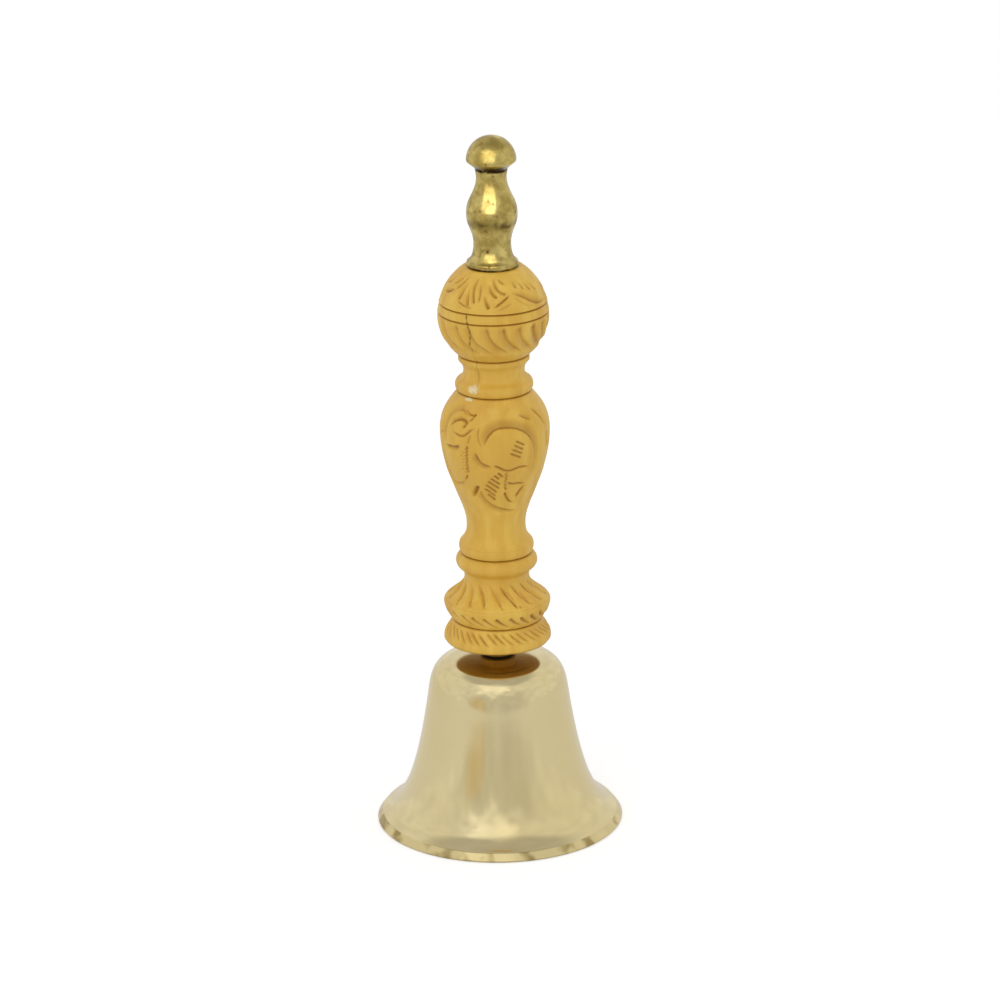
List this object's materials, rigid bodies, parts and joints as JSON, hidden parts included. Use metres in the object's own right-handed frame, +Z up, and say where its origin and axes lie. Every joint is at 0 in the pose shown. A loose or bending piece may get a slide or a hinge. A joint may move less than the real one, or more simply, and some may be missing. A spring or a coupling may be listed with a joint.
{
  "type": "handbell",
  "caption": "Small cast handbell with a flared lip, a carved wooden baluster handle, a turned brass finial and a free ball clapper.",
  "frame": {"origin": "centre of the mouth, on the plane of the lip that the bell stands on", "axes": "+Z up the handle to the finial, +Y away from the side that is seen first, +X to its right"},
  "size_m": [0.07, 0.07, 0.2004],
  "materials": {
    "bell_metal": "cast bell metal, turned and mirror polished",
    "aged_brass": "turned brass, hand polished, slightly tarnished",
    "clapper_brass": "turned brass, unpolished",
    "carved_wood": "pale yellow close-grained wood, turned, hand carved and lightly waxed",
    "zinc_steel": "zinc plated steel",
    "blackened_steel": "blackened steel"
  },
  "bodies": {
    "bell_body": {"bell_shell": "bell_metal", "seat_washer": "blackened_steel", "handle": "carved_wood", "finial_sleeve": "aged_brass", "finial_cap": "aged_brass", "eye_bolt": "zinc_steel", "crown_washer": "zinc_steel", "crown_nut": "zinc_steel"},
    "link": {"clapper_link": "zinc_steel"},
    "clapper": {"clapper_shank": "clapper_brass", "clapper_ball": "clapper_brass"}
  },
  "joints": [
    {"name": "clapper_sway", "type": "hinge", "parent": "bell_body", "child": "link", "pos_m": [0, 0, 0.0351], "axis": [1, 0, 0], "range_deg": [-8, 8]},
    {"name": "clapper_swing", "type": "hinge", "parent": "link", "child": "clapper", "pos_m": [0, 0, 0.03015], "axis": [0, 1, 0], "range_deg": [-45, 45]}
  ]
}
